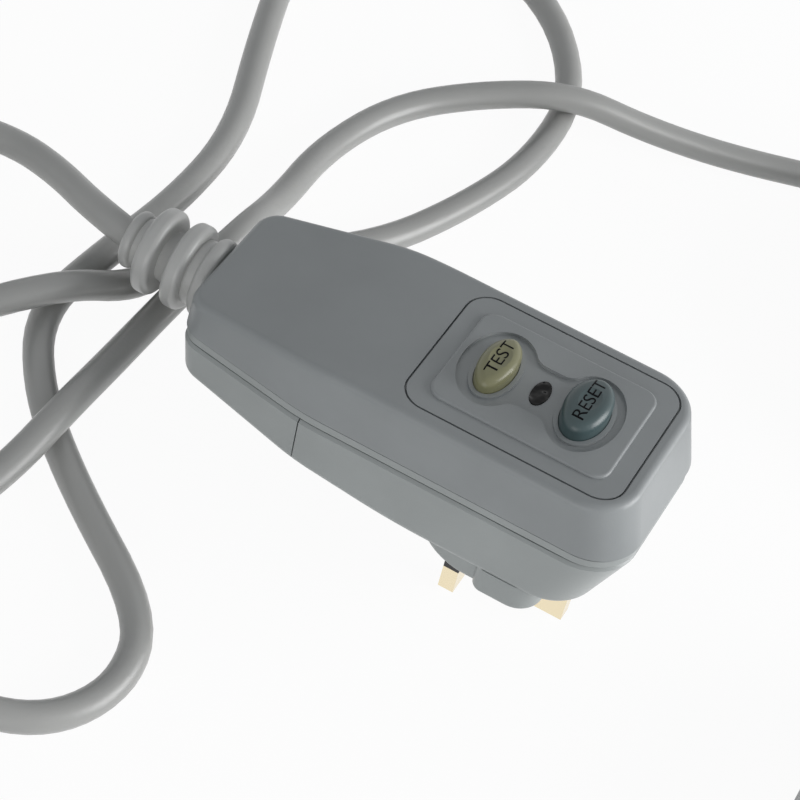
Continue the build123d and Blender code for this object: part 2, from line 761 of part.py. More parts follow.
# Contact bridge under the reset stem, sliding on the chassis guides, and the contacts
contacts_y = live_spacing / 2 - 2.5
contacts_end = reset_x - guide_radius - slide_gap
contacts_at = [(contacts_end - contact_reach / 2, side * contacts_y) for side in (-1, 1)]
with BuildPart() as contact_bridge:
    add(slabs([(reset_x, 0)], bridge_size[0], bridge_size[1], bridge_bottom, bridge_top, 1))
    add(pillars(guides_at, guide_radius + slide_gap, bridge_bottom - 1, bridge_top + 1), mode=Mode.SUBTRACT)
with BuildPart() as moving_contacts:
    add(slabs(contacts_at, contact_reach, contact_width, bridge_bottom - contact_thickness, bridge_bottom))
tip_x = contacts_end - contact_reach + contact_width / 2
foot_start = live_x + live_size[0] / 2 + pin_head_margin
fixed_top = bridge_bottom - contact_thickness - contact_open
with BuildPart() as fixed_contacts:
    tips_at = [(tip_x, side * contacts_y) for side in (-1, 1)]
    add(slabs(tips_at, contact_thickness, contact_width, floor_z, fixed_top))
    add(slabs(tips_at, contact_width, contact_width, fixed_top - contact_thickness, fixed_top))
    feet_at = [((foot_start + tip_x) / 2, side * contacts_y) for side in (-1, 1)]
    add(slabs(feet_at, tip_x - foot_start, contact_width, floor_z, floor_z + contact_thickness))

# Wiring chamber: terminal block, cord clamp and the flex inside the plug
block_bottom = web_bottom - block_size[2]
terminals_at = [(block_x, lane * terminal_pitch) for lane in (-1, 0, 1)]
with BuildPart() as terminal_block:
    add(slabs([(block_x, 0)], block_size[0], block_size[1], block_bottom, web_bottom))
    bite_end = block_bottom + terminal_bite + 0.5
    add(pillars(terminals_at, screw_hole, block_bottom - 1, bite_end), mode=Mode.SUBTRACT)
terminal_screws = screws(terminals_at, block_bottom, terminal_bite)
with BuildPart() as cord_clamp:
    add(slabs([(clamp_x, 0)], clamp_size[0], clamp_size[1], clamp_top - clamp_size[2], clamp_top))
    add(pillars(clamp_screws_at, screw_hole, clamp_top - 10, clamp_top + 1), mode=Mode.SUBTRACT)
clamp_screws = screws(clamp_screws_at, clamp_top - clamp_size[2], clamp_size[2] + screw_bite)
inner_end = clamp_x + clamp_size[0] / 2 + 1.4
cord_inner = round_bar(-relief_length, inner_end, cord_radius)
block_face = block_x - block_size[0] / 2
with BuildPart() as cord_cores:
    for lane in (-1, 0, 1):
        start = Vector(inner_end, 2 * core_radius * 0.85 * lane, cord_axis_z - 0.8)
        stop = Vector(block_face, terminal_pitch * lane, (block_bottom + web_bottom) / 2)
        with BuildSketch(Plane(origin=start, z_dir=stop - start)):
            Circle(core_radius)
        extrude(amount=(stop - start).length)
    for x_cut, keep_side in ((inner_end, Keep.TOP), (block_face, Keep.BOTTOM)):
        split(bisect_by=Plane.YZ.offset(x_cut), keep=keep_side)

# Strain relief: a flange inside, a neck through the wall and ribbed rings outside
rings = (
    (relief_gap, relief_collar_radius, 3.9),
    (6.4, relief_ring_radius, 4.6),
    (14.4, relief_ring_radius, 4.6),
    (relief_length - 3.0, relief_end_radius, 3.0),
)
flange_start = wall + cord_pull_bottom / 2 + relief_play
flange_end = flange_start + relief_flange_thickness
with BuildPart() as strain_relief:
    with BuildSketch(Plane.XZ):
        with BuildLine():
            Polyline(
                (-relief_length, cord_axis_z),
                (-relief_length, cord_axis_z + relief_tail_radius),
                (-14, cord_axis_z + relief_tail_radius),
                (-6, cord_axis_z + relief_neck_radius),
                (-relief_gap, cord_axis_z + relief_neck_radius),
                (-relief_gap, cord_axis_z + relief_hole - relief_gap),
                (flange_end, cord_axis_z + relief_hole - relief_gap),
                (flange_end, cord_axis_z),
                close=True,
            )
        make_face()
        with Locations((flange_start + relief_flange_thickness / 2, cord_axis_z + relief_flange / 2)):
            Rectangle(relief_flange_thickness, relief_flange)
    revolve(axis=Axis((0, 0, cord_axis_z), (1, 0, 0)))
    for start, radius, width in rings:
        with BuildPart(mode=Mode.PRIVATE) as ring:
            with BuildSketch(Plane.YZ.offset(-start - width)):
                with Locations((0, cord_axis_z)):
                    Circle(radius)
            extrude(amount=width)
            fillet(ring.edges().filter_by(GeomType.CIRCLE), radius=min(relief_round, 0.45 * width))
        add(ring.part)
    add(round_bar(-relief_length - 1, 10, cord_radius + screw_gap), mode=Mode.SUBTRACT)


# The flex: a free stretch, a put-away coil and a tail to the socket
def along_cord(points, radii):
    """The flex along straight runs joined by arcs."""
    with BuildPart() as tube:
        with BuildLine() as route:
            FilletPolyline(*points, radius=radii)
        with BuildSketch(Plane(origin=points[0], z_dir=Vector(*points[1]) - Vector(*points[0]))):
            Circle(cord_radius)
        sweep(path=route.line)
    return tube.part, route.wire()


def bend_radii(points):
    """As large an arc at each corner as its two runs allow."""
    corners = []
    for before, here, after in zip(points, points[1:], points[2:]):
        run_in = Vector(*here) - Vector(*before)
        run_out = Vector(*after) - Vector(*here)
        half_turn = radians(run_in.get_angle(run_out)) / 2
        corners.append(0.45 * min(run_in.length, run_out.length) / tan(half_turn))
    return corners


# How the plug stands: tipped until the live, neutral and earth pins all reach the floor
earth_drop = earth_length - live_length
tip_spacing = (earth_x - earth_size[0] / 2) - (live_x - live_size[0] / 2)
tilt = atan2(earth_drop, tip_spacing)
plug_parts = {
    "top_cover": top_cover.part,
    "chassis": chassis.part,
    "lower_housing": lower_housing.part,
    "wiring_cover": wiring_cover.part,
    "body_screws": body_screws,
    "cover_screws": cover_screws,
    "live_pin": live_pin,
    "neutral_pin": neutral_pin,
    "earth_pin": earth_pin,
    "pin_sleeves": pin_sleeves.part,
    "fuse_carrier": fuse_carrier.part,
    "fuse": fuse.part,
    "fuse_clips": fuse_clips.part,
    "button_panel": button_panel.part,
    "indicator_window": indicator_window.part,
    "indicator_flag": indicator_flag.part,
    "test_button": test_button,
    "reset_button": reset_button,
    "test_spring": test_spring,
    "reset_spring": reset_spring,
    "circuit_board": circuit_board.part,
    "test_switch": test_switch.part,
    "trip_solenoid": trip_solenoid.part,
    "solenoid_plunger": solenoid_plunger.part,
    "sensing_transformer": sensing_transformer.part,
    "contact_bridge": contact_bridge.part,
    "moving_contacts": moving_contacts.part,
    "fixed_contacts": fixed_contacts.part,
    "terminal_block": terminal_block.part,
    "terminal_screws": terminal_screws,
    "cord_clamp": cord_clamp.part,
    "clamp_screws": clamp_screws,
    "cord_inner": cord_inner,
    "cord_cores": cord_cores.part,
    "strain_relief": strain_relief.part,
}
tipped = Location((0, 0, 0), (0, -degrees(tilt), 0))
standing = Compound(children=[piece.moved(tipped) for piece in plug_parts.values()]).bounding_box()
under = Location((-(standing.min.X + standing.max.X) / 2, 0, -standing.min.Z))
rest = under * tipped


def save(name, piece):
    """Write one piece under its node's name."""
    piece.label = name
    export_step(piece, f"parts/{name}.step")


for name, piece in plug_parts.items():
    save(name, piece.moved(rest))

relief_exit = (rest * Location((-relief_length, 0, cord_axis_z))).position
outward = relief_exit - (rest * Location((0, 0, cord_axis_z))).position
outward = outward.normalized()
led_out = relief_exit + outward * exit_run

# Route of the free stretch, on the floor but for its crossings
lying = cord_radius
free_route = [
    tuple(relief_exit),
    tuple(led_out),
    (-90.5, 3.6, 11.6),
    (-104.0, 6.5, 7.0),
    (-123.0, 2.0, 4.2),
    (-134.8, -12.2, lying),
    (-135.6, -30.7, lying),
    (-125.0, -45.9, lying),
    (-107.4, -51.6, 4.0),
    (-90.0, -45.4, 7.6),
    (-73.0, -20.0, 14.0),
    (-62.4, -0.7, 4.2),
    (-59.3, 13.0, lying),
    (-45.5, 31.0, lying),
    (-26.0, 60.0, lying),
    (-15.0, 90.0, lying),
    (-8.5, 120.0, lying),
    (-10.0, 152.0, lying),
    (-31.0, 176.0, lying),
    (-63.0, 178.0, lying),
    (-86.0, 156.0, lying),
    (-92.0, 124.0, lying),
    (-84.0, 92.0, lying),
    (-72.5, 62.0, lying),
    (-71.5, 32.0, lying),
    (-73.8, 2.0, lying),
    (-74.6, -23.0, lying),
    (-61.5, -42.0, lying),
    (-41.0, -58.5, lying),
    (-11.0, -78.0, lying),
    (-5.4, -95.2, lying),
    (-12.1, -112.0, lying),
    (-28.3, -120.6, lying),
    (-46.2, -117.0, lying),
    (-57.8, -102.6, lying),
    (-57.4, -84.0, 5.0),
    (-53.8, -66.5, 9.0),
    (-53.0, -47.5, 13.4),
    (-53.4, -24.0, 6.5),
    (-53.2, 1.0, 4.9),
    (-53.6, 25.0, 16.0),
    (-54.4, 50.0, 5.5),
    (-53.0, 76.0, lying),
    (-44.0, 104.0, lying),
    (-28.0, 124.0, 8.0),
    (-9.0, 139.0, 13.3),
    (12.0, 152.0, 7.5),
    (36.0, 168.0, lying),
    (66.0, 188.0, lying),
    (98.0, coil_centre[1] + coil_outer, lying),
    (coil_centre[0], coil_centre[1] + coil_outer, lying),
]
free_radii = bend_radii(free_route)
cord_free, free_line = along_cord(free_route, free_radii)


def coil_turns():
    """Half circles that spiral in and out again, climbing a layer where the spiral reverses."""
    x, y, z = coil_centre[0], coil_centre[1] + coil_outer, lying
    radius, heading = coil_outer, 1
    arcs = []
    for layer in range(coil_layers):
        step = -coil_pitch / 2 if layer % 2 == 0 else coil_pitch / 2
        for turn in range(coil_half_turns):
            climb = coil_rise if layer and turn == 0 else 0
            arcs.append(((x, y, z), radius, heading, climb))
            y -= 2 * radius * heading
            z += climb
            heading = -heading
            radius += step
    return arcs, (x, y, z)


turns, coil_end = coil_turns()
with BuildPart() as coil_tube:
    with BuildLine() as winding:
        for (x, y, z), radius, heading, climb in turns:
            across = Vector(x, y - 2 * radius * heading, z + climb)
            reach = hypot(2 * radius, climb) / 2
            middle = Vector(x + reach * heading, y - radius * heading, z + climb / 2)
            first = TangentArc((x, y, z), middle, tangent=(heading, 0, 0))
            TangentArc(middle, across, tangent=first % 1)
    with BuildSketch(Plane(origin=turns[0][0], z_dir=(1, 0, 0))):
        Circle(cord_radius)
    sweep(path=winding.line)
cord_coil = coil_tube.part
coil_line = winding.wire()

# Tail from the coil's last turn to the socket's grip
socket_inlet = (socket_x, socket_cord_end + socket_grip_length, socket_cord_z)
tail_route = [
    coil_end,
    (150.0, coil_end[1], coil_end[2]),
    (171.5, 193.0, 26.5),
    (184.5, 173.0, 20.0),
    (187.0, 148.0, 11.5),
    (183.5, 122.0, 6.5),
    (173.5, 100.0, 10.5),
    (socket_x, socket_inlet[1] + 20.0, 18.6),
    socket_inlet,
]
tail_radii = bend_radii(tail_route)
cord_tail, tail_line = along_cord(tail_route, tail_radii)

# Trailing socket
socket_y = socket_cord_end - socket_length / 2
socket_joint = socket_base_height
socket_top = socket_base_height + socket_front_height
face_bottom = socket_top - face_thickness
socket_live_at = [(socket_x + side * live_spacing / 2, socket_live_y) for side in (-1, 1)]
socket_earth_at = [(socket_x, socket_live_y - earth_to_live)]
socket_screws_at = [
    (socket_x + side * socket_screw_pitch[0] / 2, socket_y + end * socket_screw_pitch[1] / 2)
    for side in (-1, 1)
    for end in (-1, 1)
]
shutter_top = face_bottom - shutter_gap
shutter_bottom = shutter_top - shutter_thickness
well_top = shutter_bottom - shutter_gap


def socket_bar(start, stop, radius):
    """A round bar along the socket's cord axis."""
    with BuildPart() as bar:
        with BuildSketch(Plane.XZ.offset(-start)):
            with Locations((socket_x, socket_cord_z)):
                Circle(radius)
        extrude(amount=start - stop)
    return bar.part


def socket_shell(low, high, edge, floor, ceiling):
    """One half of the socket's case: rounded corners, one rounded rim and an open joint face."""
    with BuildPart() as shell:
        add(slabs([(socket_x, socket_y)], socket_width, socket_length, low, high, socket_corner))
        rim = shell.faces().sort_by(Axis.Z)[0 if edge < 0 else -1].edges()
        fillet(rim, radius=abs(edge))
        inner = (socket_width - 2 * socket_wall, socket_length - 2 * socket_wall)
        inner_corner = socket_corner - socket_wall
        add(slabs([(socket_x, socket_y)], *inner, floor, ceiling, inner_corner), mode=Mode.SUBTRACT)
    return shell.part


with BuildPart() as socket_base:
    add(socket_shell(0, socket_joint, -socket_edge, socket_wall, socket_joint + 1))
    add(pillars(socket_screws_at, post_radius, socket_wall / 2, socket_joint))
    well = (live_slot[0] + 2 * well_wall + 1, live_slot[1] + 2 * well_wall + 2)
    add(slabs(socket_live_at, *well, socket_wall / 2, well_top))
    earth_well = (earth_slot[0] + 2 * well_wall + 2, earth_slot[1] + 2 * well_wall + 1)
    add(slabs(socket_earth_at, *earth_well, socket_wall / 2, well_top))
    live_space = (live_slot[0] + 1, live_slot[1] + 2)
    add(slabs(socket_live_at, *live_space, socket_wall, well_top + 1), mode=Mode.SUBTRACT)
    earth_space = (earth_slot[0] + 2, earth_slot[1] + 1)
    add(slabs(socket_earth_at, *earth_space, socket_wall, well_top + 1), mode=Mode.SUBTRACT)
    add(socket_bar(socket_cord_end + 1, socket_cord_end - socket_wall - 2, relief_hole), mode=Mode.SUBTRACT)
    add(pillars(socket_screws_at, screw_hole, -1, socket_joint + 1), mode=Mode.SUBTRACT)
    add(pillars(socket_screws_at, head_hole, -1, socket_seat), mode=Mode.SUBTRACT)
with BuildPart() as socket_front:
    add(socket_shell(socket_joint, socket_top, socket_edge, socket_joint - 1, face_bottom))
    add(pillars(socket_screws_at, post_radius, socket_joint, face_bottom + 1))
    add(slabs(socket_live_at, *live_slot, face_bottom - 1, socket_top + 1), mode=Mode.SUBTRACT)
    add(slabs(socket_earth_at, *earth_slot, face_bottom - 1, socket_top + 1), mode=Mode.SUBTRACT)
    add(socket_bar(socket_cord_end + 1, socket_cord_end - socket_wall - 2, relief_hole), mode=Mode.SUBTRACT)
    screw_top = socket_joint + screw_bite + 0.5
    add(pillars(socket_screws_at, screw_hole, socket_joint - 1, screw_top), mode=Mode.SUBTRACT)
socket_screws = screws(socket_screws_at, socket_seat, socket_joint + screw_bite - socket_seat)

shutter_width = live_spacing + live_slot[0] + 4
shutter_depth = live_slot[1] + 3
arm_start = socket_live_y - earth_to_live + earth_slot[1] / 2 + 0.6
with BuildPart() as socket_shutter:
    add(slabs([(socket_x, socket_live_y)], shutter_width, shutter_depth, shutter_bottom, shutter_top))
    arm_y = (arm_start + socket_live_y) / 2
    arm_length = socket_live_y - arm_start
    add(slabs([(socket_x, arm_y)], earth_slot[0], arm_length, shutter_bottom, shutter_top))

# Two leaves grip each pin of a plug, from inside its well
with BuildPart() as socket_contacts:
    leaf_y = live_slot[1] / 2 + 1 - leaf_thickness / 2
    leaves_at = [(x, y + side * leaf_y) for x, y in socket_live_at for side in (-1, 1)]
    add(slabs(leaves_at, live_slot[0] - 1, leaf_thickness, socket_wall, contact_top))
    add(slabs(socket_live_at, live_slot[0] - 1, live_space[1], socket_wall, socket_wall + leaf_thickness))
    leaf_x = earth_slot[0] / 2 + 1 - leaf_thickness / 2
    leaves_at = [(x + side * leaf_x, y) for x, y in socket_earth_at for side in (-1, 1)]
    add(slabs(leaves_at, leaf_thickness, earth_slot[1] - 1, socket_wall, contact_top))
    add(slabs(socket_earth_at, earth_space[0], earth_slot[1] - 1, socket_wall, socket_wall + leaf_thickness))

# Socket's cord grip: a flange inside, a neck through the wall and a tapered sleeve outside
grip_end = socket_cord_end - socket_wall - relief_flange_thickness - relief_play
with BuildPart() as socket_grip:
    with BuildSketch(Plane.YZ.offset(socket_x)):
        with BuildLine():
            Polyline(
                (socket_inlet[1], socket_cord_z),
                (socket_inlet[1], socket_cord_z + cord_radius + socket_grip_wall),
                (socket_cord_end + 3, socket_cord_z + socket_grip_radius),
                (socket_cord_end + relief_gap, socket_cord_z + socket_grip_radius),
                (socket_cord_end + relief_gap, socket_cord_z + relief_hole - relief_gap),
                (grip_end, socket_cord_z + relief_hole - relief_gap),
                (grip_end, socket_cord_z),
                close=True,
            )
        make_face()
        with Locations((grip_end + relief_flange_thickness / 2, socket_cord_z + relief_flange / 2)):
            Rectangle(relief_flange_thickness, relief_flange)
    revolve(axis=Axis((socket_x, 0, socket_cord_z), (0, 1, 0)))
    add(socket_bar(socket_inlet[1] + 1, grip_end - 1, cord_radius + screw_gap), mode=Mode.SUBTRACT)
clamp_y = socket_cord_end - socket_clamp_inset
socket_cord = socket_bar(socket_inlet[1], clamp_y - clamp_size[0] / 2, cord_radius)
socket_clamp_at = [(socket_x + side * clamp_pitch / 2, clamp_y) for side in (-1, 1)]
clamp_low = socket_cord_z - cord_radius
with BuildPart() as socket_clamp:
    bar_bottom = clamp_low - clamp_size[2]
    add(slabs([(socket_x, clamp_y)], clamp_size[1], clamp_size[0], bar_bottom, clamp_low))
    add(pillars(socket_clamp_at, screw_hole, bar_bottom - 1, clamp_low + 1), mode=Mode.SUBTRACT)

for name, piece in {
    "cord_free": cord_free,
    "cord_coil": cord_coil,
    "cord_tail": cord_tail,
    "socket_base": socket_base.part,
    "socket_front": socket_front.part,
    "socket_screws": socket_screws,
    "socket_shutter": socket_shutter.part,
    "socket_contacts": socket_contacts.part,
    "socket_grip": socket_grip.part,
    "socket_cord": socket_cord,
    "socket_clamp": socket_clamp.part,
}.items():
    save(name, piece)


def least_gap(line, reach):
    """Least clear distance between parts of one cord that are further apart along it than reach."""
    count = int(line.length / 3)
    points = [line.position_at(i / count) for i in range(count + 1)]
    step = line.length / count
    apart = ceil(reach / step)
    least = min(
        (points[i] - points[j]).length for i in range(count + 1) for j in range(i + apart, count + 1)
    )
    return least - 2 * cord_radius


area = pi * cord_radius**2
for name, line, piece in (
    ("free", free_line, cord_free),
    ("coil", coil_line, cord_coil),
    ("tail", tail_line, cord_tail),
):
    print(name, "length", round(line.length, 1), "volume over section", round(piece.volume / area, 1))
print("whole flex", round(free_line.length + coil_line.length + tail_line.length, 1))
print("free radii", [round(r) for r in free_radii], "tail radii", [round(r) for r in tail_radii])
print("least gap free", round(least_gap(free_line, 40), 2), "coil", round(least_gap(coil_line, 60), 2))
print("tilt", round(degrees(tilt), 3), "rest", rest)
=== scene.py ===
"""Looks for a residual-current plug with its flex and a trailing socket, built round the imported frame.

Metres throughout. The plug's own frame (x from its cord end, z square to its cover) is tipped by its
pins, and plug_point turns a place in it into a place in the scene.
"""

from math import cos, pi, radians, sin

import bmesh
import bpy
from mathutils import Matrix, Vector


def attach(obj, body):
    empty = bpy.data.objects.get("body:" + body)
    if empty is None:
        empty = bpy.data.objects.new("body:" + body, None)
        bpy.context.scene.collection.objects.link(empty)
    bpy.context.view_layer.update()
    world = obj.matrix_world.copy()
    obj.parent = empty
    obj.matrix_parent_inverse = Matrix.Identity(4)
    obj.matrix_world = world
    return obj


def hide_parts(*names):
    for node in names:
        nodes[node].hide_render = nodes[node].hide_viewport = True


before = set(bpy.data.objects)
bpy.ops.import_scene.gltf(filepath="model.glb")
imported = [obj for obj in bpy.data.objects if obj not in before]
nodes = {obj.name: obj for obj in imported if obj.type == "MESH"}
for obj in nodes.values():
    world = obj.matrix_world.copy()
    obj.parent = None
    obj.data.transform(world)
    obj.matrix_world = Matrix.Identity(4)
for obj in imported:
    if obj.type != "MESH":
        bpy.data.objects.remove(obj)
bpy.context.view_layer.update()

# How the plug stands, as the CAD has it
tilt = radians(13.9629)
plug_origin = Vector((-0.0444475, 0.0, 0.0255261))
plug_turn = Matrix.Rotation(-tilt, 4, "Y")
plug_frame = Matrix.Translation(plug_origin) @ plug_turn

# Flex: exit_shift, and the route's points beside the plug, follow the strands in the photograph
cord_radius = 0.00375
lying = cord_radius
relief_length = 0.0245
cord_axis_z = -0.001
exit_run = 0.011
exit_shift = Vector((-0.0005, 0.0015, 0.0012))
coil_centre = (0.1275, 0.152)
coil_outer = 0.050
coil_pitch = 0.0085
coil_rise = 0.0083
coil_layers = 4
coil_half_turns = 6
points_per_half_turn = 8
tube_roundness = 5
tube_steps = 6

# Trailing socket
socket_x = 0.1665
socket_cord_end = 0.040
socket_grip_length = 0.020
socket_cord_z = 0.019
socket_exit_run = 0.020

# Buttons
test_x = 0.0702
reset_x = 0.0927
above_buttons = 0.030
letter_size = 0.0042
letter_thinning = -0.00002
letter_relief = 0.00006
test_word_length = 0.0112
reset_word_length = 0.0132
longest_edge = 0.0005
cutting_rounds = 4

# Surfaces: scales in waves per metre, depths in metres, tone ranges as shares of the colour. A gloss
# shift is added to a roughness, and a gloss range stands for it.
tone_scale = 45.0
tone_range = (0.96, 1.03)
tone_ramp = (0.35, 0.65)
gloss_scale = 130.0
gloss_shift = (-0.05, 0.07)
mould_grain = 2600.0
mould_grain_depth = 0.00002
mould_shine = 0.45
button_grain = 1500.0
button_grain_depth = 0.000008
ink_shine = 0.05
vinyl_roughness = 0.36
vinyl_tone_scale = 30.0
vinyl_tone_range = (0.95, 1.03)
vinyl_gloss_scale = 260.0
vinyl_gloss_range = (0.30, 0.42)
vinyl_ripple = 900.0
vinyl_ripple_depth = 0.00003
vinyl_shine = 0.7
vinyl_scatter = 0.12
vinyl_scatter_radius = (0.0012, 0.0011, 0.0010)
scratch_scale = 900.0
scratch_depth = 0.000004
scratch_gloss_shift = (-0.06, 0.1)
winding_scale = 3000.0
lens_colour = (0.006, 0.006, 0.0065)
lens_roughness = 0.08
lens_gloss_scale = 400.0
lens_gloss_range = (0.05, 0.12)
lens_ripple = 520.0
lens_ripple_depth = 0.0009
lens_shine = 0.15

# Floor and light: floor_whiteness is the share of plain white that the camera sees on the floor
floor_half = 4.0
floor_colour = (0.95, 0.95, 0.95)
floor_roughness = 0.9
floor_whiteness = 0.95
surround_tint = (0.93, 0.97, 1.0)
surround_strength = 0.30
lamp_aim = Vector((0.0, 0.0, 0.02))
key_place = Vector((0.95, 0.35, 0.42))
key_size = 0.7
key_power = 9.5
front_place = Vector((0.15, -1.1, 0.12))
front_size = 0.9
front_power = 4.2

# Camera, worked out from the photograph
photo_width = 800.0
focal_pixels = 2747.0
sensor_width = 36.0
camera_place = Vector((0.02389, -0.42066, 0.50938))
camera_forward = Vector((-0.028, 0.659, -0.752))
camera_right = Vector((0.800, 0.465, 0.378))


def plug_point(x, y, z):
    """A place in the plug's own frame, as a place in the scene."""
    return plug_frame @ Vector((x, y, z))


def in_scene(name, data):
    """A new object, linked to the scene."""
    piece = bpy.data.objects.new(name, data)
    bpy.context.scene.collection.objects.link(piece)
    return piece


# Materials


def new_material(name, colour, roughness):
    """A Principled material with a constant roughness, and the nodes that its pattern is built on."""
    material = bpy.data.materials.new(name)
    material.use_nodes = True
    tree = material.node_tree
    shader = tree.nodes["Principled BSDF"]
    shader.inputs["Base Color"].default_value = (*colour, 1)
    shader.inputs["Roughness"].default_value = roughness
    return material, tree, shader


def noise(tree, scale, detail=3.0):
    """Noise in object coordinates, so its grain has a real size."""
    place = tree.nodes.new("ShaderNodeTexCoord")
    texture = tree.nodes.new("ShaderNodeTexNoise")
    texture.inputs["Scale"].default_value = scale
    texture.inputs["Detail"].default_value = detail
    tree.links.new(place.outputs["Object"], texture.inputs["Vector"])
    return texture


def bump(tree, shader, texture, depth):
    """Relief from a texture, in metres deep."""
    node = tree.nodes.new("ShaderNodeBump")
    node.inputs["Distance"].default_value = depth
    tree.links.new(texture.outputs[0], node.inputs["Height"])
    tree.links.new(node.outputs["Normal"], shader.inputs["Normal"])


def vary(tree, shader, texture, colour, shares):
    """Colour that drifts between two close tones, each a share of it."""
    ramp = tree.nodes.new("ShaderNodeValToRGB")
    for stop, share, position in zip(ramp.color_ramp.elements, shares, tone_ramp):
        stop.color = (*(share * c for c in colour), 1)
        stop.position = position
    tree.links.new(texture.outputs[0], ramp.inputs["Fac"])
    tree.links.new(ramp.outputs["Color"], shader.inputs["Base Color"])


def roughen(tree, shader, texture, low, high):
    """Roughness that drifts between two values."""
    spread = tree.nodes.new("ShaderNodeMapRange")
    spread.inputs["To Min"].default_value = low
    spread.inputs["To Max"].default_value = high
    tree.links.new(texture.outputs[0], spread.inputs["Value"])
    tree.links.new(spread.outputs[0], shader.inputs["Roughness"])


def moulded(name, colour, roughness, grain=mould_grain, depth=mould_grain_depth, shine=mould_shine):
    """Injection-moulded plastic: a fine spark-eroded grain and a slow drift of tone."""
    material, tree, shader = new_material(name, colour, roughness)
    vary(tree, shader, noise(tree, tone_scale), colour, tone_range)
    low, high = gloss_shift
    roughen(tree, shader, noise(tree, gloss_scale), roughness + low, roughness + high)
    bump(tree, shader, noise(tree, grain), depth)
    shader.inputs["Specular IOR Level"].default_value = shine
    return material


def soft_vinyl(name, colour):
    """Flexible PVC: satin, a little translucent, with faint drawn ripples."""
    material, tree, shader = new_material(name, colour, vinyl_roughness)
    vary(tree, shader, noise(tree, vinyl_tone_scale), colour, vinyl_tone_range)
    roughen(tree, shader, noise(tree, vinyl_gloss_scale), *vinyl_gloss_range)
    bump(tree, shader, noise(tree, vinyl_ripple), vinyl_ripple_depth)
    shader.inputs["Specular IOR Level"].default_value = vinyl_shine
    shader.inputs["Subsurface Weight"].default_value = vinyl_scatter
    shader.inputs["Subsurface Radius"].default_value = vinyl_scatter_radius
    return material


def metal(name, colour, roughness, grain=scratch_scale):
    """Metal with fine scratches in its polish."""
    material, tree, shader = new_material(name, colour, roughness)
    shader.inputs["Metallic"].default_value = 1.0
    low, high = scratch_gloss_shift
    roughen(tree, shader, noise(tree, grain), roughness + low, roughness + high)
    bump(tree, shader, noise(tree, 2 * grain), scratch_depth)
    return material


def window_gloss(name):
    """Dark polished lens, a little uneven, so that its reflections break up."""
    material, tree, shader = new_material(name, lens_colour, lens_roughness)
    roughen(tree, shader, noise(tree, lens_gloss_scale), *lens_gloss_range)
    bump(tree, shader, noise(tree, lens_ripple, detail=0.0), lens_ripple_depth)
    shader.inputs["Specular IOR Level"].default_value = lens_shine
    return material


case = moulded("case_plastic", (0.335, 0.352, 0.358), 0.34)
# Lighter and greener than the case plastic: the greener tone is the moulding's own, and part of the
# lightness is painted bounce light from the floor under the lower housing
lower_case_with_painted_bounce = moulded("lower_case_plastic_with_painted_bounce", (0.405, 0.428, 0.424), 0.34)
relief_vinyl = soft_vinyl("relief_vinyl", (0.54, 0.54, 0.527))
flex_vinyl = soft_vinyl("flex_vinyl", (0.42, 0.42, 0.408))
cream = moulded("test_plastic", (0.25, 0.245, 0.135), 0.30, button_grain, button_grain_depth)
blue = moulded("reset_plastic", (0.060, 0.095, 0.100), 0.30, button_grain, button_grain_depth)
lens = window_gloss("window_plastic")
flag = moulded("flag_plastic", (0.55, 0.05, 0.04), 0.5)
pin_metal = metal("pin_brass", (0.87, 0.76, 0.54), 0.2)
sleeve = moulded("sleeve_plastic", (0.03, 0.03, 0.032), 0.45)
steel = metal("screw_steel", (0.60, 0.60, 0.60), 0.30)
contact_metal = metal("contact_brass", (0.80, 0.58, 0.28), 0.32)
fuse_ceramic = moulded("fuse_ceramic", (0.78, 0.74, 0.66), 0.25)
board = moulded("board_resist", (0.05, 0.22, 0.09), 0.35)
black = moulded("black_plastic", (0.03, 0.03, 0.03), 0.5)
winding = metal("winding_copper", (0.62, 0.28, 0.12), 0.35, grain=winding_scale)
ring_coat = moulded("ring_coat", (0.06, 0.14, 0.32), 0.3)
inner = moulded("inner_plastic", (0.55, 0.55, 0.52), 0.5)
cores = soft_vinyl("core_insulation", (0.20, 0.16, 0.06))
ink = moulded("button_ink", (0.004, 0.004, 0.005), 0.6, shine=ink_shine)

node_finish = {
    case: ("top_cover", "button_panel", "socket_base", "socket_front"),
    lower_case_with_painted_bounce: ("chassis", "lower_housing", "wiring_cover", "fuse_carrier"),
    relief_vinyl: ("strain_relief", "socket_grip"),
    flex_vinyl: ("cord_inner", "socket_cord"),
    cream: ("test_button",),
    blue: ("reset_button",),
    lens: ("indicator_window",),
    flag: ("indicator_flag",),
    pin_metal: ("live_pin", "neutral_pin", "earth_pin"),
    sleeve: ("pin_sleeves",),
    steel: (
        "body_screws", "cover_screws", "test_spring", "reset_spring", "solenoid_plunger",
        "terminal_screws", "clamp_screws", "socket_screws",
    ),
    contact_metal: ("fuse_clips", "moving_contacts", "fixed_contacts", "socket_contacts"),
    fuse_ceramic: ("fuse",),
    board: ("circuit_board",),
    black: ("test_switch",),
    winding: ("trip_solenoid",),
    ring_coat: ("sensing_transformer",),
    inner: ("contact_bridge", "terminal_block", "cord_clamp", "socket_shutter", "socket_clamp"),
    cores: ("cord_cores",),
}
for finish, names in node_finish.items():
    for name in names:
        for slot in nodes[name].material_slots:
            slot.material = finish


# Flex: one smooth line from the plug's strain relief through the coil to the socket

